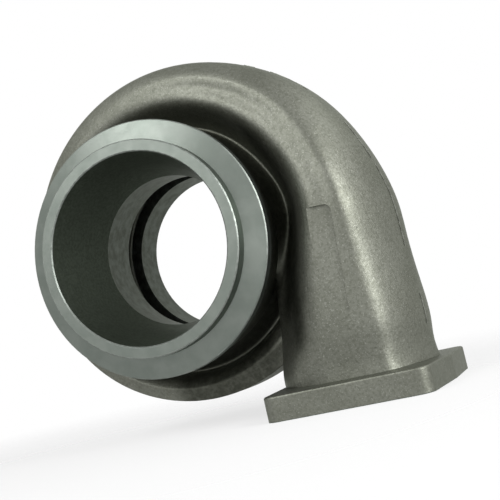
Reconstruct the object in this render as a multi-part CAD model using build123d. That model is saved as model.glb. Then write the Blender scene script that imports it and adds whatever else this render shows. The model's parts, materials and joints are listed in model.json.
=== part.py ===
from build123d import *
import math
import os

# Turbine housing of a twin-entry turbocharger: one iron casting with machined ends.
# Millimetres. The turbine axis is Y and the outlet face is at Y = 0, facing -Y.
# The inlet flange faces down (-Z) on the +X side. Depth means distance along +Y.

# Outlet end: a pilot lip, a clamping shoulder that slopes back, and its rim.
OUTLET_BORE_R = 55.0
LIP_WALL = 7.0
LIP_LENGTH = 8.2
SHOULDER_WIDTH = 12.6
SHOULDER_SETBACK = 3.1
RIM_LENGTH = 5.5
EDGE_BREAK = 0.6

# Cast neck behind the rim.
NECK_STEP = 4.0
NECK_BACK_STEP = 3.0

# Turbine wheel chamber, from the outlet inwards.
SHROUD_R = 45.7
SHROUD_DEPTH = 49.0
TIP_R = 48.2
NOZZLE_DEPTH = 80.6
NOZZLE_WIDTH = 23.9
NOZZLE_RIM_R = 57.0
DIVIDER_WALL = 3.0

# Bearing-housing end: a counterbored flange with tapped holes.
REAR_BORE_R = 51.0
REAR_BORE_LENGTH = 22.8
COUNTERBORE_R = 60.0
COUNTERBORE_LENGTH = 6.0
REAR_FLANGE_R = 84.0
REAR_FLANGE_THICKNESS = 14.0
REAR_BOLT_COUNT = 8
REAR_BOLT_PCD = 147.0
REAR_BOLT_R = 4.25
REAR_BOLT_LENGTH = 11.0

# Scroll: how far its crest reaches out of the neck, and where it ends.
REACH_AT_INLET = 65.5
REACH_AT_TONGUE = 22.0
TONGUE_ANGLE = 290.0
SCROLL_END_ANGLE = 335.0
SCROLL_JOIN_ANGLE = 190.0
SCROLL_STEPS = 14
SCROLL_FADE = 2.45
CREST_SWELL = 10.0
CREST_SWELL_FADE = 4.0
TONGUE_RISE = 10.0
TONGUE_RISE_ANGLE = 240.0
PARTING_DEPTH = 52.0
PARTING_SHIFT = 6.0
WALL = 5.5

# Front of the scroll: the valley beside the neck, then the ridge of the front passage.
VALLEY_DEPTH_INLET = 51.0
VALLEY_DEPTH_TONGUE = 62.0
VALLEY_OUT_INLET = 5.5
VALLEY_OUT_TONGUE = 5.0
RIDGE_DEPTH_INLET = 15.6
RIDGE_DEPTH_TONGUE = 50.6
RIDGE_OUT_INLET = 29.0
RIDGE_OUT_TONGUE = 12.5
RIDGE_OUT_FADE = 1.08
RIDGE_FADE = 1.2
SADDLE_DIP = 1.9
SADDLE_CENTRE = 0.6
SADDLE_SPAN = 0.17
SADDLE_CROWN = 0.9
SADDLE_OUT_INLET = 0.24
SADDLE_OUT_TONGUE = 0.27
BROW_OUT_INLET = 0.45
BROW_OUT_TONGUE = 0.50
BROW_OUT_FADE = 3.0
BROW_BACK_INLET = 0.01
BROW_BACK_TONGUE = 0.12
SHOULDER_IN_INLET = 0.20
SHOULDER_IN_TONGUE = 0.07
SHOULDER_IN_FADE = 1.5
TOE_LENGTH = 14.0
TOE_BURIAL = 2.4
TOE_RISE = 0.8

# Angle whose outline sets how the points are spread along every outline.
SPREAD_ANGLE = 60.0

# Section of the scroll between those points, as shares of the way from one to the next.
TOE_BEND = 0.40
VALLEY_FLANK_OUT = 0.52
VALLEY_FLANK_FORWARD = 0.70
SHOULDER_FORWARD = 0.57
REAR_FLANK_IN = 0.025
REAR_FLANK_BACK = 0.56
REAR_CORNER_IN = 0.38
REAR_CORNER_BACK = 0.92

# The two gas passages: radius and depth of the outer end of each.
PASSAGE_R_INLET = 14.5
PASSAGE_R_TONGUE = 6.0
FRONT_PASSAGE_INLET = 37.5
FRONT_PASSAGE_TONGUE = 73.0
REAR_PASSAGE_INLET = 70.0
REAR_PASSAGE_TONGUE = 94.0
CORNER_SHARE = 0.72
PASSAGE_COVER = 8.8
PASSAGE_END_ANGLE = 312.0

# Inlet flange, with its sides drawn in towards the front from the parting line.
FLANGE_DROP = 108.9
FLANGE_THICKNESS = 13.6
FLANGE_X = 99.0
FLANGE_WIDTH = 98.8
FLANGE_LENGTH = 107.4
FLANGE_TAPER = 4.3
FLANGE_CORNER_R = 7.7
FLANGE_EDGE_R = 1.2
STUD_SPACING_X = 70.0
STUD_SPACING_Y = 82.0
STUD_HOLE_R = 4.25
STUD_HOLE_LENGTH = 11.0

# Divided port in the inlet flange.
PORT_WIDTH = 56.0
PORT_LENGTH = 25.5
PORT_WALL = 5.0
PORT_CORNER_R = 11.0

# Inlet neck where it meets the flange.
INLET_NECK_X = 97.2
INLET_NECK_WIDTH = 85.4
INLET_NECK_LENGTH = 82.5
INLET_NECK_FRONT = 15.2
INLET_NECK_STEPS = 4
INLET_NECK_SINK = 3.0
INLET_NECK_SETTLE = 1.4

# Outline of the inlet neck at the flange, from its left wall round the front to its back,
# as shares of its width and length.
INLET_NECK_SHAPE = [
    (-0.02, 0.51),
    (0.0, 0.33),
    (0.09, 0.195),
    (0.22, 0.09),
    (0.375, 0.03),
    (0.52, 0.018),
    (0.71, 0.012),
    (0.88, 0.14),
    (1.0, 0.45),
    (0.95, 0.80),
    (0.78, 0.98),
    (0.40, 1.0),
    (0.04, 0.88),
]

# Flat pad on the front of the inlet neck.
PAD_DEPTH = 18.0
PAD_TILT = 0.12
PAD_DROP = 0.015
PAD_LEAN = 0.05
PAD_RIGHT = 110.5
PAD_WIDTH = 18.0
PAD_TOP = -2.0
PAD_LENGTH = 62.0
PAD_CORNER_R = 4.0

# How far a cutting solid runs past the face that it cuts.
OVERRUN = 1.0

# Places that follow from the sizes above.
LIP_R = OUTLET_BORE_R + LIP_WALL
SHOULDER_R = LIP_R + SHOULDER_WIDTH
SHOULDER_BACK = LIP_LENGTH + SHOULDER_SETBACK
RIM_BACK = SHOULDER_BACK + RIM_LENGTH
NECK_R = SHOULDER_R - NECK_STEP
NOZZLE_BACK = NOZZLE_DEPTH + NOZZLE_WIDTH
THROAT_R = (NOZZLE_WIDTH - DIVIDER_WALL) / 4
COUNTERBORE_DEPTH = NOZZLE_BACK + REAR_BORE_LENGTH
BACK_DEPTH = COUNTERBORE_DEPTH + COUNTERBORE_LENGTH
FLANGE_TOP = FLANGE_THICKNESS - FLANGE_DROP


def share_left(angle):
    """Share of the inlet's size that the scroll has left at an angle round the axis."""
    return max(0.0, 1.0 - angle / TONGUE_ANGLE) ** SCROLL_FADE


def blend(at_inlet, at_tongue, share):
    """A size between its value at the tongue and its value at the inlet."""
    return at_tongue + (at_inlet - at_tongue) * share


def blend_points(start, end, share):
    """Points that move from a list of starts to a list of ends."""
    return [
        (a[0] + (b[0] - a[0]) * share, a[1] + (b[1] - a[1]) * share)
        for a, b in zip(start, end)
    ]


def settle(share):
    """Share that leaves at a slope and arrives level."""
    return 1 - (1 - share) ** INLET_NECK_SETTLE


def radial_plane(angle):
    """Plane through the turbine axis: local x is the radius, local y the depth."""
    turn = math.radians(angle)
    return Plane(
        origin=(0, 0, 0),
        x_dir=(math.cos(turn), 0, math.sin(turn)),
        z_dir=(-math.sin(turn), 0, math.cos(turn)),
    )


def level_plane(height):
    """Horizontal plane at a height: local x is X, local y the depth."""
    return Plane(origin=(0, 0, height))


def turned(profile):
    """Solid of revolution about the turbine axis from (radius, depth) corners."""
    points = [(radius, depth, 0) for radius, depth in profile]
    face = make_face(Polyline(*points, close=True))
    return revolve(face, axis=Axis.Y)


def crest_r(angle):
    """Radius of the crest: it swells a little past the inlet and rises again to the tongue."""
    share = share_left(angle)
    swell = CREST_SWELL * (1 - share) * share ** CREST_SWELL_FADE
    past = max(0.0, angle - TONGUE_RISE_ANGLE) / (SCROLL_END_ANGLE - TONGUE_RISE_ANGLE)
    return NECK_R + blend(REACH_AT_INLET, REACH_AT_TONGUE, share) + swell + TONGUE_RISE * past ** 2


def passage_r(share):
    """Radius of the outer end of a gas passage."""
    return blend(PASSAGE_R_INLET, PASSAGE_R_TONGUE, share)


def scroll_outline(angle):
    """Outside of the scroll in a radial plane, from its toe in the neck round to the back."""
    share = share_left(angle)
    crest = crest_r(angle)
    parting = PARTING_DEPTH + PARTING_SHIFT * (1 - share)
    valley_r = NECK_R + blend(VALLEY_OUT_INLET, VALLEY_OUT_TONGUE, math.sqrt(share))
    valley = blend(VALLEY_DEPTH_INLET, VALLEY_DEPTH_TONGUE, share)
    ridge_r = NECK_R + blend(RIDGE_OUT_INLET, RIDGE_OUT_TONGUE, share ** RIDGE_OUT_FADE)
    ridge = blend(RIDGE_DEPTH_INLET, RIDGE_DEPTH_TONGUE, share ** RIDGE_FADE)
    back = blend(REAR_PASSAGE_INLET, REAR_PASSAGE_TONGUE, share) + passage_r(share) + WALL
    width = crest - ridge_r
    front = parting - ridge
    rear = back - parting
    dip = SADDLE_DIP * math.exp(-((share - SADDLE_CENTRE) / SADDLE_SPAN) ** 2)
    dip -= SADDLE_CROWN * (1 - share) ** 2
    saddle_out = blend(SADDLE_OUT_INLET, SADDLE_OUT_TONGUE, share ** BROW_OUT_FADE)
    brow_out = blend(BROW_OUT_INLET, BROW_OUT_TONGUE, share ** BROW_OUT_FADE)
    brow_back = blend(BROW_BACK_INLET, BROW_BACK_TONGUE, share)
    shoulder_in = blend(SHOULDER_IN_INLET, SHOULDER_IN_TONGUE, share ** SHOULDER_IN_FADE)
    return [
        (NECK_R - TOE_BURIAL, valley - TOE_LENGTH),
        (NECK_R + TOE_RISE, valley - TOE_BEND * TOE_LENGTH),
        (valley_r, valley),
        (
            blend(ridge_r, valley_r, VALLEY_FLANK_OUT),
            blend(ridge, valley, VALLEY_FLANK_FORWARD),
        ),
        (ridge_r, ridge),
        (ridge_r + saddle_out * width, ridge + dip),
        (ridge_r + brow_out * width, ridge + brow_back * front),
        (crest - shoulder_in * width, parting - SHOULDER_FORWARD * front),
        (crest, parting),
        (crest - REAR_FLANK_IN * width, parting + REAR_FLANK_BACK * rear),
        (crest - REAR_CORNER_IN * width, parting + REAR_CORNER_BACK * rear),
        (valley_r, back + WALL),
        (COUNTERBORE_R, NOZZLE_BACK + 2 * WALL),
    ]


def inlet_neck_outline():
    """Outside of the inlet neck at the flange, point for point with the scroll's outline."""
    left = INLET_NECK_X - INLET_NECK_WIDTH / 2
    return [
        (left + x * INLET_NECK_WIDTH, INLET_NECK_FRONT + y * INLET_NECK_LENGTH)
        for x, y in INLET_NECK_SHAPE
    ]


def outline_knots():
    """Where each point sits along every outline, as a share of the curve."""
    points = [Vector(x, y) for x, y in scroll_outline(SPREAD_ANGLE)]
    knots = [0.0]
    for here, there in zip(points, points[1:]):
        knots.append(knots[-1] + math.sqrt((there - here).length))
    return [knot / knots[-1] for knot in knots]


def closed_wire(plane, outline):
    """Smooth curve through an outline's points, closed by one straight edge."""
    points = [plane.from_local_coords(Vector(x, y, 0)) for x, y in outline]
    curve = Edge.make_spline(points, parameters=outline_knots())
    return Wire([curve, Edge.make_line(points[-1], points[0])])


def scroll_wires(start, end, steps):
    """Outlines of the scroll at equal steps between two angles."""
    wires = []
    for step in range(steps + 1):
        angle = start + (end - start) * step / steps
        wires.append(closed_wire(radial_plane(angle), scroll_outline(angle)))
    return wires


def inlet_neck_wires():
    """Outlines of the inlet neck, from inside the flange to just below the scroll."""
    bottom = FLANGE_TOP - INLET_NECK_SINK
    wires = []
    for step in range(INLET_NECK_STEPS, 0, -1):
        share = step / INLET_NECK_STEPS
        outline = blend_points(scroll_outline(0), inlet_neck_outline(), settle(share))
        wires.append(closed_wire(level_plane(bottom * share), outline))
    return wires


def outer_scroll():
    """Outside of the inlet neck and the scroll, in two lofts that meet on the far side."""
    steps = SCROLL_STEPS // 2
    near = inlet_neck_wires() + scroll_wires(0, SCROLL_JOIN_ANGLE, steps)
    far = scroll_wires(SCROLL_JOIN_ANGLE, SCROLL_END_ANGLE, steps)
    return Solid.make_loft(near) + Solid.make_loft(far)


def scroll_passage(front, angle):
    """Four corner circles of a gas passage in a radial plane: ((radius, depth), size)."""
    share = share_left(angle)
    radius = passage_r(share)
    if front:
        outer_depth = blend(FRONT_PASSAGE_INLET, FRONT_PASSAGE_TONGUE, share)
        throat_depth = NOZZLE_DEPTH + THROAT_R
    else:
        outer_depth = blend(REAR_PASSAGE_INLET, REAR_PASSAGE_TONGUE, share)
        throat_depth = NOZZLE_BACK - THROAT_R
    outer = Vector(crest_r(angle) - radius - PASSAGE_COVER, outer_depth)
    throat = Vector(NOZZLE_RIM_R, throat_depth)
    across = (outer - throat).normalized().rotate(Axis.Z, 90)
    circles = []
    for centre, size, side in (
        (outer, radius, -1),
        (outer, radius, 1),
        (throat, THROAT_R, 1),
        (throat, THROAT_R, -1),
    ):
        spot = centre + across * (side * size * (1 - CORNER_SHARE))
        circles.append((spot, size * CORNER_SHARE))
    return circles


def port_passage(front):
    """Four corner circles of one half of the divided port."""
    centre = PARTING_DEPTH + (PORT_LENGTH + PORT_WALL) / 2 * (-1 if front else 1)
    reach_x = PORT_WIDTH / 2 - PORT_CORNER_R
    reach_y = PORT_LENGTH / 2 - PORT_CORNER_R
    return [
        (Vector(FLANGE_X + side_x * reach_x, centre + side_y * reach_y), PORT_CORNER_R)
        for side_x, side_y in ((1, -1), (1, 1), (-1, 1), (-1, -1))
    ]


def blend_circles(start, end, share):
    """Corner circles on their way from one list to another."""
    return [
        (a[0] + (b[0] - a[0]) * share, a[1] + (b[1] - a[1]) * share)
        for a, b in zip(start, end)
    ]


def outward(first, second):
    """Direction in which the common tangent of two circles faces out of their hull."""
    span = second[0] - first[0]
    lean = (first[1] - second[1]) / span.length
    along = span.normalized()
    return along.rotate(Axis.Z, -90) * math.sqrt(1 - lean * lean) + along * lean


def hull_wire(plane, circles):
    """Closed wire of four arcs and the four straights that are tangent to them."""
    facing = [outward(circles[i], circles[(i + 1) % 4]) for i in range(4)]
    edges = []
    for i in range(4):
        here, size = circles[i]
        there, next_size = circles[(i + 1) % 4]
        arc_start = there + facing[i] * next_size
        arc_middle = there + (facing[i] + facing[(i + 1) % 4]).normalized() * next_size
        arc_end = there + facing[(i + 1) % 4] * next_size
        spots = [here + facing[i] * size, arc_start, arc_middle, arc_end]
        a, b, c, d = [plane.from_local_coords(spot) for spot in spots]
        edges.append(Edge.make_line(a, b))
        edges.append(Edge.make_three_point_arc(b, c, d))
    return Wire(edges)


def gas_passage(front):
    """One gas passage as a solid, from below the flange round to the tongue."""
    port = port_passage(front)
    inlet = scroll_passage(front, 0)
    wires = [hull_wire(level_plane(-FLANGE_DROP - OVERRUN), port)]
    for step in range(INLET_NECK_STEPS):
        share = 1 - step / INLET_NECK_STEPS
        circles = blend_circles(inlet, port, settle(share))
        wires.append(hull_wire(level_plane(FLANGE_TOP * share), circles))
    for step in range(SCROLL_STEPS + 1):
        angle = PASSAGE_END_ANGLE * step / SCROLL_STEPS
        wires.append(hull_wire(radial_plane(angle), scroll_passage(front, angle)))
    return Solid.make_loft(wires)


def outer_hub():
    """Outlet end, cast neck and bearing-housing flange, turned as one solid."""
    back_r = NECK_R - NECK_BACK_STEP
    flange_front = BACK_DEPTH - REAR_FLANGE_THICKNESS
    return turned([
        (0, 0),
        (LIP_R - EDGE_BREAK, 0),
        (LIP_R, EDGE_BREAK),
        (LIP_R, LIP_LENGTH),
        (SHOULDER_R - EDGE_BREAK, SHOULDER_BACK - EDGE_BREAK / 2),
        (SHOULDER_R, SHOULDER_BACK + EDGE_BREAK / 2),
        (SHOULDER_R, RIM_BACK),
        (NECK_R, RIM_BACK + NECK_STEP / 2),
        (back_r, NOZZLE_DEPTH),
        (back_r, flange_front),
        (REAR_FLANGE_R - EDGE_BREAK, flange_front),
        (REAR_FLANGE_R, flange_front + EDGE_BREAK),
        (REAR_FLANGE_R, BACK_DEPTH - EDGE_BREAK),
        (REAR_FLANGE_R - EDGE_BREAK, BACK_DEPTH),
        (0, BACK_DEPTH),
    ])


def wheel_chamber():
    """Everything that is bored out along the turbine axis, as one solid."""
    mouth = EDGE_BREAK + OVERRUN
    return turned([
        (0, -OVERRUN),
        (OUTLET_BORE_R + mouth, -OVERRUN),
        (OUTLET_BORE_R, EDGE_BREAK),
        (SHROUD_R, SHROUD_DEPTH),
        (TIP_R, NOZZLE_DEPTH),
        (NOZZLE_RIM_R, NOZZLE_DEPTH),
        (NOZZLE_RIM_R, NOZZLE_BACK),
        (REAR_BORE_R, NOZZLE_BACK),
        (REAR_BORE_R, COUNTERBORE_DEPTH),
        (COUNTERBORE_R, COUNTERBORE_DEPTH),
        (COUNTERBORE_R, BACK_DEPTH + OVERRUN),
        (0, BACK_DEPTH + OVERRUN),
    ])


def inlet_flange():
    """Inlet flange as a solid: a slab whose front half is drawn in on both sides."""
    front = PARTING_DEPTH - FLANGE_LENGTH / 2
    back = PARTING_DEPTH + FLANGE_LENGTH / 2
    half = FLANGE_WIDTH / 2
    corners = [
        (FLANGE_X - half + FLANGE_TAPER, front),
        (FLANGE_X + half - FLANGE_TAPER, front),
        (FLANGE_X + half, PARTING_DEPTH),
        (FLANGE_X + half, back),
        (FLANGE_X - half, back),
        (FLANGE_X - half, PARTING_DEPTH),
    ]
    face = level_plane(-FLANGE_DROP) * make_face(Polyline(*corners, close=True))
    slab = extrude(face, FLANGE_THICKNESS)
    corner_edges = slab.edges().filter_by(Axis.Z).filter_by(
        lambda edge: abs(edge.center().Y - PARTING_DEPTH) > FLANGE_CORNER_R
    )
    slab = fillet(corner_edges, FLANGE_CORNER_R)
    return fillet(slab.faces().sort_by(Axis.Z)[-1].edges(), FLANGE_EDGE_R)


def rear_bolt_holes():
    """Blind tapped holes in the bearing-housing flange."""
    plane = Plane(origin=(0, BACK_DEPTH + OVERRUN, 0), x_dir=(1, 0, 0), z_dir=(0, -1, 0))
    turn = 360 / REAR_BOLT_COUNT
    spots = PolarLocations(REAR_BOLT_PCD / 2, REAR_BOLT_COUNT, start_angle=turn / 2)
    discs = Sketch() + [plane * spot * Circle(REAR_BOLT_R) for spot in spots]
    return extrude(discs, REAR_BOLT_LENGTH + OVERRUN)


def stud_holes():
    """Blind tapped holes in the inlet flange."""
    plane = Plane(origin=(FLANGE_X, PARTING_DEPTH, -FLANGE_DROP - OVERRUN))
    spots = GridLocations(STUD_SPACING_X, STUD_SPACING_Y, 2, 2)
    discs = Sketch() + [plane * spot * Circle(STUD_HOLE_R) for spot in spots]
    return extrude(discs, STUD_HOLE_LENGTH + OVERRUN)


def pad_cut():
    """What is cut away to leave a flat pad, deepest at its top right, on the inlet neck."""
    across = Vector(1, PAD_TILT, -PAD_LEAN)
    upright = Vector(PAD_LEAN, PAD_DROP, 1)
    corner = (PAD_RIGHT, PAD_DEPTH, PAD_TOP)
    plane = Plane(origin=corner, x_dir=across, z_dir=across.cross(upright))
    outline = RectangleRounded(PAD_WIDTH, PAD_LENGTH, PAD_CORNER_R)
    face = plane * Pos(-PAD_WIDTH / 2, -PAD_LENGTH / 2) * outline
    return extrude(face, PAD_DEPTH + OVERRUN)


def turbine_housing():
    """The whole casting."""
    casting = outer_hub() + outer_scroll() + inlet_flange()
    casting -= wheel_chamber()
    casting -= gas_passage(front=True)
    casting -= gas_passage(front=False)
    casting -= rear_bolt_holes()
    casting -= stud_holes()
    return casting - pad_cut()


os.makedirs("parts", exist_ok=True)
export_step(turbine_housing(), "parts/turbine_housing.step")
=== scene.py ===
"""Looks of a turbocharger turbine housing: its finishes, casting flash, studio and camera."""

import json
import logging
import math
from dataclasses import dataclass, field
from enum import Enum
from typing import Any

import bmesh
import bpy
from mathutils import Matrix, Vector, noise
from mathutils.bvhtree import BVHTree

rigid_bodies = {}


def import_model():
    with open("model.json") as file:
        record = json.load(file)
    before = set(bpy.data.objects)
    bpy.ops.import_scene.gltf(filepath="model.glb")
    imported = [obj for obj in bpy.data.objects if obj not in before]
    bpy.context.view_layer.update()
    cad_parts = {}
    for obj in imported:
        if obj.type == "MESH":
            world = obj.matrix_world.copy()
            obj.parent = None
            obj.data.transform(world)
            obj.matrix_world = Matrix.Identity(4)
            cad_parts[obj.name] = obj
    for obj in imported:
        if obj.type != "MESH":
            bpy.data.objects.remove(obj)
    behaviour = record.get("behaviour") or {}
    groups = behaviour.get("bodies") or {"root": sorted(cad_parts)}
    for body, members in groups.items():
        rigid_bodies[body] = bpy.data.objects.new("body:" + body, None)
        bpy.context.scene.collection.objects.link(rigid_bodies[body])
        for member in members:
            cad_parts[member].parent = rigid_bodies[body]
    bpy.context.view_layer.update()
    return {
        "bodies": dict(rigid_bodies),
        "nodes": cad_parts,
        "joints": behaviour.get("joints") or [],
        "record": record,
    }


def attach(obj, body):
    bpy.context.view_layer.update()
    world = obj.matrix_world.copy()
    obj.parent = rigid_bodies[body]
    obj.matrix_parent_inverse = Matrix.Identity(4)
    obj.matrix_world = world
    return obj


LOG = logging.getLogger("turbine_housing")

MM = 0.001
BODY = "root"
CASTING_NODE = "turbine_housing"

# Machined sizes of the casting, as in its CAD source: radii about the turbine axis, and
# depths along that axis from the outlet face.
BORE_R = 55.0 * MM
LIP_R = 62.0 * MM
SHOULDER_R = 74.6 * MM
SHOULDER_DEPTH = 11.3 * MM
RIM_DEPTH = 16.8 * MM
EDGE_BREAK = 0.6 * MM
SHROUD_DEPTH = 49.0 * MM
TIP_R = 48.2 * MM
NOZZLE_DEPTH = 80.6 * MM
NOZZLE_BACK = 104.5 * MM
COUNTERBORE_R = 60.0 * MM
REAR_FLANGE_R = 84.0 * MM
BACK_DEPTH = 133.3 * MM
INLET_FACE = -108.9 * MM

# How far a turned zone reaches past the faces that it covers.
CLEAR = 0.3 * MM

# Depths between which the valley at the front of the scroll lies.
VALLEY_DEPTHS = (22 * MM, 70 * MM)

# How metallic the iron's surface is, and the value about which Blender's noise varies.
METAL = 0.95
NOISE_MEAN = 0.5

# Diameter of the smaller lamps, in metres.
SMALL_LAMP = 0.2

Colour = tuple[float, float, float, float]


def iron(value: float, red: float = 0.97, blue: float = 0.85) -> Colour:
    """A grey of iron, with red and blue as shares of its green.

    Args:
        value: Linear brightness of the green.
        red: Share of red.
        blue: Share of blue.

    Returns:
        The colour with full alpha.
    """
    return (value * red, value, value * blue, 1.0)


def direction(azimuth: float, elevation: float) -> Vector:
    """A direction seen from the housing.

    Args:
        azimuth: Degrees from the front (-Y) towards +X.
        elevation: Degrees above the level.

    Returns:
        The unit vector.
    """
    turn, lift = math.radians(azimuth), math.radians(elevation)
    return Vector((math.sin(turn) * math.cos(lift), -math.cos(turn) * math.cos(lift), math.sin(lift)))


class Axis(Enum):
    """Components of a position on the housing."""

    ACROSS = "X"
    DEPTH = "Y"
    HEIGHT = "Z"


class Signal:
    """One shader socket that takes part in plain arithmetic."""

    def __init__(self, graph: "FinishGraph", socket: bpy.types.NodeSocket) -> None:
        """Wraps a socket of a graph.

        Args:
            graph: The graph that the socket's node belongs to.
            socket: The output socket.
        """
        self.graph = graph
        self.socket = socket

    def _math(self, operation: str, *values: "Signal | float") -> "Signal":
        """A Math node on some values.

        Args:
            operation: Name of the node's operation.
            values: Its inputs in order.

        Returns:
            The node's result.
        """
        node = self.graph.node("ShaderNodeMath", {"operation": operation}, dict(enumerate(values)))
        return Signal(self.graph, node.outputs[0])

    def __add__(self, other: "Signal | float") -> "Signal":
        """Adds a signal or a number.

        Args:
            other: What is added.

        Returns:
            The sum.
        """
        return self._math("ADD", self, other)

    def __sub__(self, other: "Signal | float") -> "Signal":
        """Takes a signal or a number away.

        Args:
            other: What is taken away.

        Returns:
            The difference.
        """
        return self._math("SUBTRACT", self, other)

    def __rsub__(self, other: float) -> "Signal":
        """Takes the signal away from a number.

        Args:
            other: The number.

        Returns:
            The difference.
        """
        return self._math("SUBTRACT", other, self)

    def __mul__(self, other: "Signal | float") -> "Signal":
        """Multiplies by a signal or a number.

        Args:
            other: The other factor.

        Returns:
            The product.
        """
        return self._math("MULTIPLY", self, other)

    __radd__ = __add__
    __rmul__ = __mul__

    def root(self) -> "Signal":
        """Takes the square root.

        Returns:
            The root.
        """
        return self._math("SQRT", self)

    def above(self, limit: float, soft: float) -> "Signal":
        """How far the signal is past a limit.

        Args:
            limit: Where the result is one half.
            soft: Width over which it rises.

        Returns:
            0 below the limit and 1 above it.
        """
        settings = {"interpolation_type": "SMOOTHSTEP", "clamp": True}
        values = {0: self, 1: limit - soft / 2, 2: limit + soft / 2, 3: 0.0, 4: 1.0}
        node = self.graph.node("ShaderNodeMapRange", settings, values)
        return Signal(self.graph, node.outputs[0])

    def below(self, limit: float, soft: float) -> "Signal":
        """How far the signal stays short of a limit.

        Args:
            limit: Where the result is one half.
            soft: Width over which it falls.

        Returns:
            1 below the limit and 0 above it.
        """
        return 1.0 - self.above(limit, soft)

    def either(self, other: "Signal") -> "Signal":
        """Joins two masks.

        Args:
            other: The other mask.

        Returns:
            The larger of the two at each place.
        """
        return self._math("MAXIMUM", self, other)


class FinishGraph:
    """Builds one material's nodes."""

    def __init__(self, name: str) -> None:
        """Starts a material with a Principled shader.

        Args:
            name: The material's name.
        """
        self.material = bpy.data.materials.new(name)
        self.material.use_nodes = True
        self.tree = self.material.node_tree
        self.shader = self.tree.nodes["Principled BSDF"]
        place = self.node("ShaderNodeTexCoord").outputs["Object"]
        self.place = place
        self.split = self.node("ShaderNodeSeparateXYZ", inputs={0: place})

    def node(
        self,
        kind: str,
        settings: dict[str, Any] | None = None,
        inputs: dict[int | str, Any] | None = None,
    ) -> bpy.types.Node:
        """Adds one node.

        Args:
            kind: The node's type.
            settings: Its own properties, which are set first.
            inputs: Values or links of its sockets, by index or name.

        Returns:
            The node.
        """
        made = self.tree.nodes.new(kind)
        for name, value in (settings or {}).items():
            setattr(made, name, value)
        for key, value in (inputs or {}).items():
            self.feed(made.inputs[key], value)
        return made

    def feed(self, socket: bpy.types.NodeSocket, value: Any) -> None:
        """Sets a socket to a number or colour, or links a signal or an output to it.

        Args:
            socket: The input socket.
            value: What goes into it.
        """
        if isinstance(value, Signal):
            value = value.socket
        if isinstance(value, bpy.types.NodeSocket):
            self.tree.links.new(value, socket)
        else:
            socket.default_value = value

    def position(self, axis: Axis) -> Signal:
        """Reads one component of the position on the housing.

        Args:
            axis: The component.

        Returns:
            Its value in metres.
        """
        return Signal(self, self.split.outputs[axis.value])

    def radius(self) -> Signal:
        """Reads the distance from the turbine axis.

        Returns:
            The distance in metres.
        """
        across, height = self.position(Axis.ACROSS), self.position(Axis.HEIGHT)
        return (across * across + height * height).root()

    def noise(self, size: float, detail: float, rough: float, place: Any = None) -> Signal:
        """Cloudy noise.

        Args:
            size: Size of its features, in metres.
            detail: Number of finer octaves.
            rough: Strength of the finer octaves.
            place: Another vector to read in place of the position.

        Returns:
            A signal about one half.
        """
        values = {"Vector": place or self.place, "Scale": 1.0 / size, "Detail": detail, "Roughness": rough}
        return Signal(self, self.node("ShaderNodeTexNoise", {}, values).outputs["Fac"])

    def cells(self, size: float) -> Signal:
        """Distance to the nearest of many scattered points.

        Args:
            size: Spacing of the points, in metres.

        Returns:
            The distance as a share of the spacing.
        """
        values = {"Vector": self.place, "Scale": 1.0 / size}
        return Signal(self, self.node("ShaderNodeTexVoronoi", {}, values).outputs["Distance"])

    def blend(self, share: Signal | float, first: Any, second: Any) -> bpy.types.NodeSocket:
        """Mixes two colours.

        Args:
            share: 0 for the first and 1 for the second.
            first: A colour or an output.
            second: A colour or an output.

        Returns:
            The mixed colour's output.
        """
        # The Mix node's sockets share their names between data types, so its colours go by place.
        settings = {"data_type": "RGBA", "clamp_factor": True}
        made = self.node("ShaderNodeMix", settings, {0: share, 6: first, 7: second})
        return made.outputs[2]

    def bump(self, height: Signal, depth: float, normal: Any = None) -> bpy.types.NodeSocket:
        """Turns a height into a normal.

        Args:
            height: Signal from 0 to 1.
            depth: Its real depth, in metres.
            normal: A normal to start from.

        Returns:
            The normal's output.
        """
        values = {"Strength": 1.0, "Distance": depth, "Height": height}
        if normal is not None:
            values["Normal"] = normal
        return self.node("ShaderNodeBump", {}, values).outputs[0]

    def finish(self, **sockets: Any) -> bpy.types.Material:
        """Feeds the shader's sockets and returns the material.

        Args:
            sockets: Values by socket name, with underscores for spaces.

        Returns:
            The finished material.
        """
        for name, value in sockets.items():
            self.feed(self.shader.inputs[name.replace("_", " ")], value)
        return self.material


@dataclass(frozen=True)
class Zone:
    """A stretch of the housing between limits, each with a low and a high end in metres.

    Attributes:
        across: Limits of X.
        depth: Limits of Y, the distance from the outlet face.
        height: Limits of Z.
        radius: Limits of the distance from the turbine axis.
        soft: Width of the zone's border.
    """

    across: tuple[float | None, float | None] = (None, None)
    depth: tuple[float | None, float | None] = (None, None)
    height: tuple[float | None, float | None] = (None, None)
    radius: tuple[float | None, float | None] = (None, None)
    soft: float = 0.4 * MM

    def mask(self, graph: FinishGraph) -> Signal:
        """1 inside the zone and 0 outside, over its soft border.

        Args:
            graph: The graph to build in.

        Returns:
            The mask.
        """
        measures = (
            (graph.position(Axis.ACROSS), self.across),
            (graph.position(Axis.DEPTH), self.depth),
            (graph.position(Axis.HEIGHT), self.height),
            (graph.radius(), self.radius),
        )
        parts = []
        for measure, (low, high) in measures:
            if low is not None:
                parts.append(measure.above(low, self.soft))
            if high is not None:
                parts.append(measure.below(high, self.soft))
        whole = parts[0]
        for part in parts[1:]:
            whole = whole * part
        return whole


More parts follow.
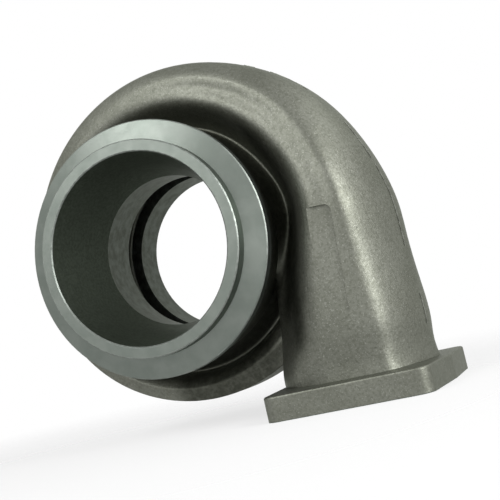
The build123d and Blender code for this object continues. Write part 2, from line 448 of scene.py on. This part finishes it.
@dataclass(frozen=True)
class Grain:
    """A layer of cloudy noise.

    Attributes:
        size: Size of its features, in metres.
        detail: Number of finer octaves.
        rough: Strength of the finer octaves.
        weight: How much the layer counts.
    """

    size: float
    detail: float = 3.0
    rough: float = 0.6
    weight: float = 1.0

    def raw(self, graph: FinishGraph, place: Any = None) -> Signal:
        """The noise by itself.

        Args:
            graph: The graph to build in.
            place: Another vector to read in place of the position.

        Returns:
            A signal about one half.
        """
        return graph.noise(self.size, self.detail, self.rough, place)

    def signal(self, graph: FinishGraph) -> Signal:
        """The noise, from 0 to its weight.

        Args:
            graph: The graph to build in.

        Returns:
            The weighted noise.
        """
        return self.raw(graph) * self.weight

    def swing(self, graph: FinishGraph, mean: float) -> Signal:
        """A value that the noise moves up and down.

        Args:
            graph: The graph to build in.
            mean: The value that it moves about.

        Returns:
            The moving value.
        """
        return mean + self.weight * (self.raw(graph) - NOISE_MEAN)


@dataclass(frozen=True)
class Speckle(Grain):
    """Noise of which only what stands above a limit is left.

    Attributes:
        limit: Level of the noise at which the speckles begin.
        soft: Width over which they rise.
    """

    limit: float = 0.5
    soft: float = 0.35

    def signal(self, graph: FinishGraph) -> Signal:
        """A mask of the speckles, from 0 to their weight.

        Args:
            graph: The graph to build in.

        Returns:
            The weighted mask.
        """
        return self.raw(graph).above(self.limit, self.soft) * self.weight


@dataclass(frozen=True)
class PaintedShadeHollow:
    """A recess darkened with painted shade, standing in for the shade that falls there.

    Attributes:
        zone: Where it lies.
        painted_shade: Share of painted shade that it gets.
    """

    zone: Zone
    painted_shade: float


# Painted shade where the scroll leaves the cast neck, all the way round, which darkens the bright crease
# there.
VALLEY_FOOT = PaintedShadeHollow(
    zone=Zone(radius=(69 * MM, 75 * MM), depth=(30 * MM, 62 * MM), soft=2 * MM),
    painted_shade=0.65,
)

# Painted shade on the floor of the valley between the neck and the scroll's ridge, all the way round.
VALLEY_FLOOR = PaintedShadeHollow(
    zone=Zone(radius=(77 * MM, 84 * MM), depth=VALLEY_DEPTHS, soft=9 * MM),
    painted_shade=0.08,
)

# Painted shade over the deepest stretch of the valley, where the inlet neck runs into the scroll.
VALLEY_BY_INLET = PaintedShadeHollow(
    zone=Zone(radius=(79 * MM, 88 * MM), across=(64 * MM, None), depth=VALLEY_DEPTHS, soft=9 * MM),
    painted_shade=0.80,
)

# Painted shade on the side of the inlet neck that faces the turbine axis.
INLET_NECK_SIDE = PaintedShadeHollow(
    zone=Zone(
        across=(70 * MM, 81 * MM),
        height=(-74 * MM, 6 * MM),
        depth=VALLEY_DEPTHS,
        soft=9 * MM,
    ),
    painted_shade=0.80,
)

# Painted shade on the underside of the scroll beside the inlet flange.
SCROLL_UNDERSIDE = PaintedShadeHollow(
    zone=Zone(
        radius=(76 * MM, 100 * MM),
        across=(-17 * MM, 50 * MM),
        height=(-104 * MM, -62 * MM),
        soft=14 * MM,
    ),
    painted_shade=0.80,
)


@dataclass(frozen=True)
class CastSkin:
    """Shot-blasted iron as it comes from the sand.

    Attributes:
        colour: Main colour.
        shaded: Colour of the clouds and of the dark grain.
        speck: Colour of the bright specks.
        painted_shade: Colour of the painted shade in the hollows.
        rough: Mean roughness.
        relief_depth: Depth of the whole relief.
        clouds: Slow clouds of the shaded colour.
        dark_grain: Fine grain of the shaded colour.
        specks: Bright specks.
        painted_shade_patches: What the painted shade's share gains in patches.
        least_painted_shade: What of the painted shade's share is left between the patches.
        sheen: Variation of the roughness.
        sand: Print of the mould's sand.
        waves: Gentle waves of the surface.
        pit_spacing: Distance between possible pits.
        pit_share: Size of a pit as a share of their spacing.
        pit_depth: Depth of a pit as a share of the relief.
        painted_shade_hollows: Where shade is painted into the colour.
    """

    colour: Colour = iron(0.172)
    shaded: Colour = iron(0.108, 0.96, 0.80)
    speck: Colour = iron(0.30, 0.98, 0.90)
    painted_shade: Colour = iron(0.035, 0.94, 0.76)
    rough: float = 0.47
    relief_depth: float = 0.35 * MM
    clouds: Speckle = Speckle(22 * MM, weight=0.35)
    dark_grain: Speckle = Speckle(1.7 * MM, rough=0.65, weight=0.6, limit=0.54, soft=0.2)
    specks: Speckle = Speckle(0.8 * MM, detail=1.0, rough=0.5, weight=0.5, limit=0.67, soft=0.08)
    painted_shade_patches: Speckle = Speckle(3.2 * MM, detail=4.0, rough=0.7, weight=0.45, limit=0.46, soft=0.4)
    least_painted_shade: float = 0.62
    sheen: Grain = Grain(2.2 * MM, weight=0.22)
    sand: Grain = Grain(1.1 * MM, weight=0.34)
    waves: Grain = Grain(9 * MM, detail=2.0, rough=0.5, weight=0.9)
    pit_spacing: float = 7 * MM
    pit_share: float = 0.10
    pit_depth: float = 0.25
    painted_shade_hollows: tuple[PaintedShadeHollow, ...] = (
        VALLEY_FOOT,
        VALLEY_FLOOR,
        VALLEY_BY_INLET,
        INLET_NECK_SIDE,
        SCROLL_UNDERSIDE,
    )

    def tint(self, graph: FinishGraph) -> bpy.types.NodeSocket:
        """Slow clouds, darker grain, bright specks, and painted shade in the hollows.

        Args:
            graph: The graph to build in.

        Returns:
            The colour's output.
        """
        base = graph.blend(self.clouds.signal(graph), self.colour, self.shaded)
        worn = graph.blend(self.dark_grain.signal(graph), base, self.shaded)
        bright = graph.blend(self.specks.signal(graph), worn, self.speck)
        # The hollows get painted shade: their masks darken the colour where the shade of the walls falls.
        painted_shade_share = self.painted_shade_hollows[0].zone.mask(graph) * self.painted_shade_hollows[0].painted_shade
        for hollow in self.painted_shade_hollows[1:]:
            painted_shade_share = painted_shade_share.either(hollow.zone.mask(graph) * hollow.painted_shade)
        patchy = self.painted_shade_patches.signal(graph) + self.least_painted_shade
        return graph.blend(painted_shade_share * patchy, bright, self.painted_shade)

    def roughness(self, graph: FinishGraph) -> Signal:
        """Roughness that varies with the grain.

        Args:
            graph: The graph to build in.

        Returns:
            The roughness.
        """
        return self.sheen.swing(graph, self.rough)

    def relief(self, graph: FinishGraph) -> Signal:
        """Sand grain on gentle waves, with a few pits.

        Args:
            graph: The graph to build in.

        Returns:
            The height.
        """
        pits = graph.cells(self.pit_spacing).below(self.pit_share, self.pit_share) * self.pit_depth
        return self.sand.signal(graph) + self.waves.signal(graph) - pits


@dataclass(frozen=True)
class TurnedFace:
    """Iron that was turned or milled.

    Attributes:
        zones: Where the tool reached.
        colour: Main colour.
        shaded: Colour of the clouds.
        clouds: Faint clouds of handling and heat.
        rough: Mean roughness.
        sheen: Variation of the roughness.
    """

    zones: tuple[Zone, ...]
    colour: Colour = iron(0.195, 0.90, 0.90)
    shaded: Colour = iron(0.168, 0.88, 0.89)
    clouds: Speckle = Speckle(14 * MM)
    rough: float = 0.38
    sheen: Grain = Grain(6 * MM, detail=2.0, rough=0.5, weight=0.14)

    def mask(self, graph: FinishGraph) -> Signal:
        """1 in any of the zones.

        Args:
            graph: The graph to build in.

        Returns:
            The mask.
        """
        whole = self.zones[0].mask(graph)
        for zone in self.zones[1:]:
            whole = whole.either(zone.mask(graph))
        return whole

    def tint(self, graph: FinishGraph) -> bpy.types.NodeSocket:
        """Faint clouds of handling and heat.

        Args:
            graph: The graph to build in.

        Returns:
            The colour's output.
        """
        return graph.blend(self.clouds.signal(graph), self.colour, self.shaded)

    def roughness(self, graph: FinishGraph) -> Signal:
        """Roughness with slow variation.

        Args:
            graph: The graph to build in.

        Returns:
            The roughness.
        """
        return self.sheen.swing(graph, self.rough)


def edge_ring(radius: float, depth: float, reach: float = EDGE_BREAK) -> Zone:
    """A thin ring along one edge of the outlet end.

    Args:
        radius: Radius of the edge.
        depth: Its depth from the outlet face.
        reach: How far the ring goes to each side of the edge.

    Returns:
        The ring's zone.
    """
    return Zone(
        radius=(radius - reach, radius + reach),
        depth=(depth - reach, depth + reach),
        soft=reach / 2,
    )


# The faces of both ends and of the inlet flange.
MACHINED_ENDS = TurnedFace(
    zones=(
        Zone(radius=(None, SHOULDER_R + CLEAR), depth=(None, RIM_DEPTH + CLEAR)),
        Zone(radius=(None, REAR_FLANGE_R + CLEAR), depth=(BACK_DEPTH - CLEAR, None)),
        Zone(height=(None, INLET_FACE + CLEAR)),
    )
)

# The shroud round the turbine wheel, and the bore behind the nozzle.
WHEEL_CHAMBER = TurnedFace(
    zones=(
        Zone(radius=(None, TIP_R + CLEAR), depth=(SHROUD_DEPTH, NOZZLE_DEPTH + CLEAR)),
        Zone(radius=(None, COUNTERBORE_R + CLEAR), depth=(NOZZLE_BACK - CLEAR, None)),
    ),
    colour=iron(0.105, 0.90, 0.88),
    shaded=iron(0.062, 0.92, 0.84),
    clouds=Speckle(5 * MM),
    rough=0.42,
)

# The bore between the outlet and the wheel, darker than the outer faces.
OUTLET_BORE = TurnedFace(
    zones=(Zone(radius=(None, BORE_R + CLEAR), depth=(EDGE_BREAK + CLEAR, SHROUD_DEPTH)),),
    colour=iron(0.102, 0.84, 0.78),
    shaded=iron(0.074, 0.84, 0.76),
    clouds=Speckle(1.5 * MM),
    rough=0.5,
)

# The edges of the outlet end, rubbed bright.
WORN_EDGES = TurnedFace(
    zones=(
        edge_ring(BORE_R + EDGE_BREAK / 2, EDGE_BREAK / 2),
        edge_ring(LIP_R - EDGE_BREAK / 2, EDGE_BREAK / 2),
        edge_ring(SHOULDER_R, SHOULDER_DEPTH),
        edge_ring(SHOULDER_R, RIM_DEPTH),
    ),
    colour=iron(0.23, 0.92, 0.92),
    shaded=iron(0.16, 0.90, 0.90),
    clouds=Speckle(3 * MM),
    rough=0.42,
)


@dataclass(frozen=True)
class HousingFinish:
    """The whole casting's material: cast skin and turned faces, laid out by position.

    Attributes:
        name: The material's name.
        skin: The cast skin.
        turned: The turned faces, each over those before it.
        edge_tint: Colour of the metal at grazing angles.
        rings: The turning tool's rings.
        ring_depth: Depth of the rings.
    """

    name: str = "blasted_and_turned_iron"
    skin: CastSkin = field(default_factory=CastSkin)
    turned: tuple[TurnedFace, ...] = (MACHINED_ENDS, WHEEL_CHAMBER, OUTLET_BORE, WORN_EDGES)
    edge_tint: Colour = (0.62, 0.64, 0.60, 1.0)
    rings: Grain = Grain(0.35 * MM, detail=1.0, rough=0.5)
    ring_depth: float = 0.02 * MM

    def make(self) -> bpy.types.Material:
        """Builds the material.

        Returns:
            The material.
        """
        graph = FinishGraph(self.name)
        colour = self.skin.tint(graph)
        rough = self.skin.roughness(graph)
        smooth = None
        for face in self.turned:
            mask = face.mask(graph)
            colour = graph.blend(mask, colour, face.tint(graph))
            rough = rough + (face.roughness(graph) - rough) * mask
            smooth = mask if smooth is None else smooth.either(mask)
        grain = graph.bump(self.skin.relief(graph) * (1.0 - smooth), self.skin.relief_depth)
        spots = {0: graph.radius(), 1: graph.position(Axis.DEPTH), 2: 0.0}
        across = graph.node("ShaderNodeCombineXYZ", {}, spots).outputs[0]
        rings = self.rings.raw(graph, across)
        normal = graph.bump(rings * smooth, self.ring_depth, grain)
        return graph.finish(
            Base_Color=colour,
            Roughness=rough,
            Metallic=METAL,
            Specular_Tint=self.edge_tint,
            Normal=normal,
        )


@dataclass(frozen=True)
class FlashFinish:
    """Broken iron of the casting flash, a little brighter than the skin.

    Attributes:
        name: The material's name.
        colour: Colour of the bright patches.
        shaded: Colour between them.
        rough: Roughness.
        patches: The bright patches.
        grain: Relief of the broken metal.
        grain_depth: Depth of the relief.
    """

    name: str = "fettled_flash"
    colour: Colour = iron(0.27, 0.96, 0.88)
    shaded: Colour = iron(0.13, 0.96, 0.84)
    rough: float = 0.42
    patches: Speckle = Speckle(3 * MM, detail=2.0, soft=0.2)
    grain: Grain = Grain(0.8 * MM, detail=2.0)
    grain_depth: float = 0.1 * MM

    def make(self) -> bpy.types.Material:
        """Builds the material.

        Returns:
            The material.
        """
        graph = FinishGraph(self.name)
        colour = graph.blend(self.patches.signal(graph), self.colour, self.shaded)
        grain = graph.bump(self.grain.raw(graph), self.grain_depth)
        return graph.finish(Base_Color=colour, Roughness=self.rough, Metallic=METAL, Normal=grain)


@dataclass
class Casting:
    """The housing itself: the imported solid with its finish.

    Attributes:
        node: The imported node's name.
        finish: What it is dressed in.
    """

    node: str = CASTING_NODE
    finish: HousingFinish = field(default_factory=HousingFinish)

    def dress(self, frame: dict[str, Any]) -> bpy.types.Object:
        """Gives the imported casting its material.


        Returns:
            The casting's object.
        """
        casting = frame["nodes"][self.node]
        casting.material_slots[0].material = self.finish.make()
        LOG.info("%s dressed", self.node)
        return casting


@dataclass
class PartingFlash:
    """Broken seam of metal that the mould's parting line left on the outside of the casting.

    Attributes:
        name: The piece's name.
        depth: Depth of the parting plane.
        starts_at: Least X of the seam.
        foot: Least Z of the seam, short of the inlet flange.
        width: Width of the seam along the turbine axis.
        sunk: How far its sides go into the casting.
        thickness: Its mean height with what is sunk.
        waviness: How far its top rises and falls.
        wave_size: Length of those waves.
        gap_size: Length of the seam's pieces and gaps.
        gap_share: Level of the noise below which there is a gap.
        clearance: Distance from the casting at which the outside is told from the inside.
        weld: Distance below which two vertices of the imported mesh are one.
        cut_tolerance: Precision of the cut.
        finish: What the seam is dressed in.
    """

    name: str = "parting_flash"
    depth: float = 53.0 * MM
    starts_at: float = 70.0 * MM
    foot: float = -93.0 * MM
    width: float = 0.7 * MM
    sunk: float = 0.3 * MM
    thickness: float = 0.6 * MM
    waviness: float = 0.22 * MM
    wave_size: float = 4 * MM
    gap_size: float = 17 * MM
    gap_share: float = -0.04
    clearance: float = 1.0 * MM
    weld: float = 0.001 * MM
    cut_tolerance: float = 0.0001 * MM
    finish: FlashFinish = field(default_factory=FlashFinish)

    def build(self, casting: bpy.types.Object) -> bpy.types.Object:
        """Cuts the casting at its parting plane and raises a thin seam from the outer cut.

        Args:
            casting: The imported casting.

        Returns:
            The seam's object.
        """
        shape = bmesh.new()
        shape.from_mesh(casting.data)
        bmesh.ops.remove_doubles(shape, verts=shape.verts, dist=self.weld)
        skin = BVHTree.FromBMesh(shape)
        bmesh.ops.bisect_plane(
            shape,
            geom=[*shape.verts, *shape.edges, *shape.faces],
            dist=self.cut_tolerance,
            plane_co=(0.0, self.depth, 0.0),
            plane_no=(0.0, 1.0, 0.0),
            clear_inner=True,
            clear_outer=True,
        )
        gaps = [edge for edge in shape.edges if not self.is_seam(edge, skin)]
        bmesh.ops.delete(shape, geom=gaps, context="EDGES")
        self.raise_seam(shape, skin)
        mesh = bpy.data.meshes.new(self.name)
        shape.to_mesh(mesh)
        shape.free()
        mesh.materials.append(self.finish.make())
        seam = bpy.data.objects.new(self.name, mesh)
        bpy.context.scene.collection.objects.link(seam)
        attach(seam, BODY)
        LOG.info("%s built with %d faces", self.name, len(mesh.polygons))
        return seam

    def is_seam(self, edge: bmesh.types.BMEdge, skin: BVHTree) -> bool:
        """Whether the cut's edge lies on the outside of the casting and outside the seam's gaps.

        Args:
            edge: One edge of the cut.
            skin: The casting's surface.

        Returns:
            True where the seam shows.
        """
        middle = (edge.verts[0].co + edge.verts[1].co) / 2
        if middle.x < self.starts_at or middle.z < self.foot:
            return False
        normal = skin.find_nearest(middle)[1]
        if skin.ray_cast(middle + normal * self.clearance, normal)[0] is not None:
            return False
        return noise.noise(middle / self.gap_size) > self.gap_share

    def raise_seam(self, shape: bmesh.types.BMesh, skin: BVHTree) -> None:
        """Widens the cut's edges to a strip, sinks it a little and raises its top out of the skin.

        Args:
            shape: The cut's edges.
            skin: The casting's surface.
        """
        bmesh.ops.translate(shape, verts=shape.verts, vec=(0.0, -self.width / 2, 0.0))
        side = bmesh.ops.extrude_edge_only(shape, edges=shape.edges)
        bmesh.ops.translate(shape, verts=self.verts_of(side), vec=(0.0, self.width, 0.0))
        top = bmesh.ops.extrude_face_region(shape, geom=shape.faces[:], use_keep_orig=True)
        raised = set(self.verts_of(top))
        for vert in shape.verts:
            spot, normal = skin.find_nearest(vert.co)[:2]
            wave = self.waviness * noise.noise(vert.co / self.wave_size)
            height = self.thickness - self.sunk + wave if vert in raised else -self.sunk
            vert.co = spot + normal * height
        bmesh.ops.recalc_face_normals(shape, faces=shape.faces)

    @staticmethod
    def verts_of(extruded: dict[str, list]) -> list[bmesh.types.BMVert]:
        """Finds the new vertices of an extrude.

        Args:
            extruded: What the operator returned.

        Returns:
            The vertices.
        """
        return [part for part in extruded["geom"] if isinstance(part, bmesh.types.BMVert)]


@dataclass
class SoftBox:
    """One soft lamp of the studio, placed by its direction from the housing.

    Attributes:
        name: The lamp's name.
        azimuth: Degrees from the front towards +X.
        elevation: Degrees above the level.
        power: Power in watts.
        size: Diameter in metres.
        distance: Distance from the point that it faces, in metres.
    """

    name: str
    azimuth: float
    elevation: float
    power: float
    size: float = 0.45
    distance: float = 1.0

    def place(self, aim: Vector) -> bpy.types.Object:
        """Makes the lamp.

        Args:
            aim: The point that it faces.

        Returns:
            The lamp.
        """
        away = direction(self.azimuth, self.elevation)
        data = bpy.data.lights.new(self.name, "AREA")
        data.shape = "DISK"
        data.size = self.size
        data.energy = self.power
        lamp = bpy.data.objects.new(self.name, data)
        lamp.location = aim + away * self.distance
        lamp.rotation_euler = away.to_track_quat("Z", "Y").to_euler()
        lamp.visible_camera = False
        bpy.context.scene.collection.objects.link(lamp)
        return lamp


@dataclass
class PhotoCamera:
    """The photograph's viewpoint, found from the circles of the outlet end.

    Attributes:
        azimuth: Degrees from the front towards +X.
        elevation: Degrees above the level.
        roll: Degrees of turn about the line of sight.
        distance: Distance from the point aimed at, in metres.
        aim: The point at the middle of the picture.
        lens: Focal length in millimetres.
        sensor: Width of the sensor in millimetres.
    """

    azimuth: float = 20.07
    elevation: float = -5.44
    roll: float = -12.85
    distance: float = 480.59 * MM
    aim: tuple[float, float, float] = (66.33 * MM, 0.0, -17.11 * MM)
    lens: float = 64.8
    sensor: float = 36.0

    def place(self) -> bpy.types.Object:
        """Makes the camera and gives it to the scene.

        Returns:
            The camera.
        """
        back = direction(self.azimuth, self.elevation)
        level = direction(self.azimuth + 90.0, 0.0)
        upright = back.cross(level)
        roll = math.radians(self.roll)
        right = level * math.cos(roll) + upright * math.sin(roll)
        up = upright * math.cos(roll) - level * math.sin(roll)
        data = bpy.data.cameras.new("photo_camera")
        data.lens = self.lens
        data.sensor_width = self.sensor
        camera = bpy.data.objects.new("photo_camera", data)
        turn = Matrix((right, up, back)).transposed().to_4x4()
        camera.matrix_world = Matrix.Translation(Vector(self.aim) + back * self.distance) @ turn
        bpy.context.scene.collection.objects.link(camera)
        bpy.context.scene.camera = camera
        return camera


@dataclass
class Studio:
    """A plain pale floor that fades into white surroundings, and soft lamps.

    Attributes:
        aim: The point that the lamps face.
        floor_gap: Gap between the inlet flange and the floor that it stands on.
        floor_size: Length of the floor's sides, in metres.
        floor_colour: Colour of the floor.
        floor_rough: Roughness of the floor.
        floor_share: How much of the floor shows near the housing.
        fade: Distances between which the floor gives way to the surroundings, in metres.
        surround: Brightness of the surroundings to matt surfaces.
        lamps: The lamps.
    """

    aim: tuple[float, float, float] = (30 * MM, 50 * MM, 0.0)
    floor_gap: float = 0.05 * MM
    floor_size: float = 8.0
    floor_colour: Colour = (0.86, 0.86, 0.86, 1.0)
    floor_rough: float = 0.9
    floor_share: float = 0.28
    fade: tuple[float, float] = (0.16, 0.60)
    surround: float = 0.30
    lamps: tuple[SoftBox, ...] = (
        SoftBox("right_softbox", azimuth=65.0, elevation=20.0, power=5.9),
        SoftBox("top_left_softbox", azimuth=-25.0, elevation=45.0, power=2.8),
        SoftBox("right_low_softbox", azimuth=62.0, elevation=2.0, power=2.2, size=SMALL_LAMP),
        SoftBox("left_softbox", azimuth=-25.0, elevation=20.0, power=1.4),
        SoftBox("top_right_softbox", azimuth=95.0, elevation=45.0, power=0.9),
        SoftBox("back_softbox", azimuth=130.0, elevation=42.0, power=0.8),
        SoftBox("side_low_softbox", azimuth=95.0, elevation=2.0, power=0.4, size=SMALL_LAMP),
        SoftBox("far_left_softbox", azimuth=-60.0, elevation=45.0, power=0.5),
        SoftBox("front_low_softbox", azimuth=5.0, elevation=2.0, power=0.4, size=SMALL_LAMP),
    )

    def build(self) -> None:
        """Makes the floor, the world and the lamps."""
        bpy.context.scene.view_settings.view_transform = "Standard"
        self.build_floor()
        self.build_world()
        for lamp in self.lamps:
            lamp.place(Vector(self.aim))
        LOG.info("studio built with %d lamps", len(self.lamps))

    def build_floor(self) -> bpy.types.Object:
        """A wide pale floor that lets the white surroundings through more and more with distance.

        Returns:
            The floor.
        """
        mesh = bpy.data.meshes.new("floor")
        shape = bmesh.new()
        bmesh.ops.create_grid(shape, x_segments=1, y_segments=1, size=self.floor_size / 2)
        bmesh.ops.translate(shape, verts=shape.verts, vec=(0.0, 0.0, INLET_FACE - self.floor_gap))
        shape.to_mesh(mesh)
        shape.free()
        floor = bpy.data.objects.new("floor", mesh)
        bpy.context.scene.collection.objects.link(floor)
        graph = FinishGraph("pale_floor")
        across, depth = graph.position(Axis.ACROSS), graph.position(Axis.DEPTH)
        away = (across * across + depth * depth).root()
        near, far = self.fade
        share = away.below((near + far) / 2, far - near) * self.floor_share
        clear = graph.node("ShaderNodeBsdfTransparent").outputs[0]
        graph.finish(Base_Color=self.floor_colour, Roughness=self.floor_rough)
        veil = graph.node("ShaderNodeMixShader", {}, {0: share, 1: clear, 2: graph.shader.outputs[0]})
        graph.feed(graph.tree.nodes["Material Output"].inputs["Surface"], veil.outputs[0])
        mesh.materials.append(graph.material)
        return floor

    def build_world(self) -> None:
        """White to the camera, to gloss and through glass, and a plain grey level to matt surfaces."""
        world = bpy.data.worlds.new("white_surroundings")
        bpy.context.scene.world = world
        world.use_nodes = True
        tree = world.node_tree
        ground = tree.nodes["Background"]
        ground.inputs["Color"].default_value = (1.0, 1.0, 1.0, 1.0)
        paths = tree.nodes.new("ShaderNodeLightPath")
        seen = paths.outputs["Is Camera Ray"]
        for ray in ("Is Glossy Ray", "Is Transmission Ray"):
            either = tree.nodes.new("ShaderNodeMath")
            either.operation = "MAXIMUM"
            tree.links.new(seen, either.inputs[0])
            tree.links.new(paths.outputs[ray], either.inputs[1])
            seen = either.outputs[0]
        level = tree.nodes.new("ShaderNodeMapRange")
        level.inputs["To Min"].default_value = self.surround
        level.inputs["To Max"].default_value = 1.0
        tree.links.new(seen, level.inputs["Value"])
        tree.links.new(level.outputs[0], ground.inputs["Strength"])


def main() -> None:
    """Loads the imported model, dresses it and sets the studio around it."""
    logging.basicConfig(level=logging.INFO, format="%(name)s: %(message)s")
    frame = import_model()
    PhotoCamera().place()
    casting = Casting().dress(frame)
    PartingFlash().build(casting)
    Studio().build()


if __name__ == "__main__":
    main()
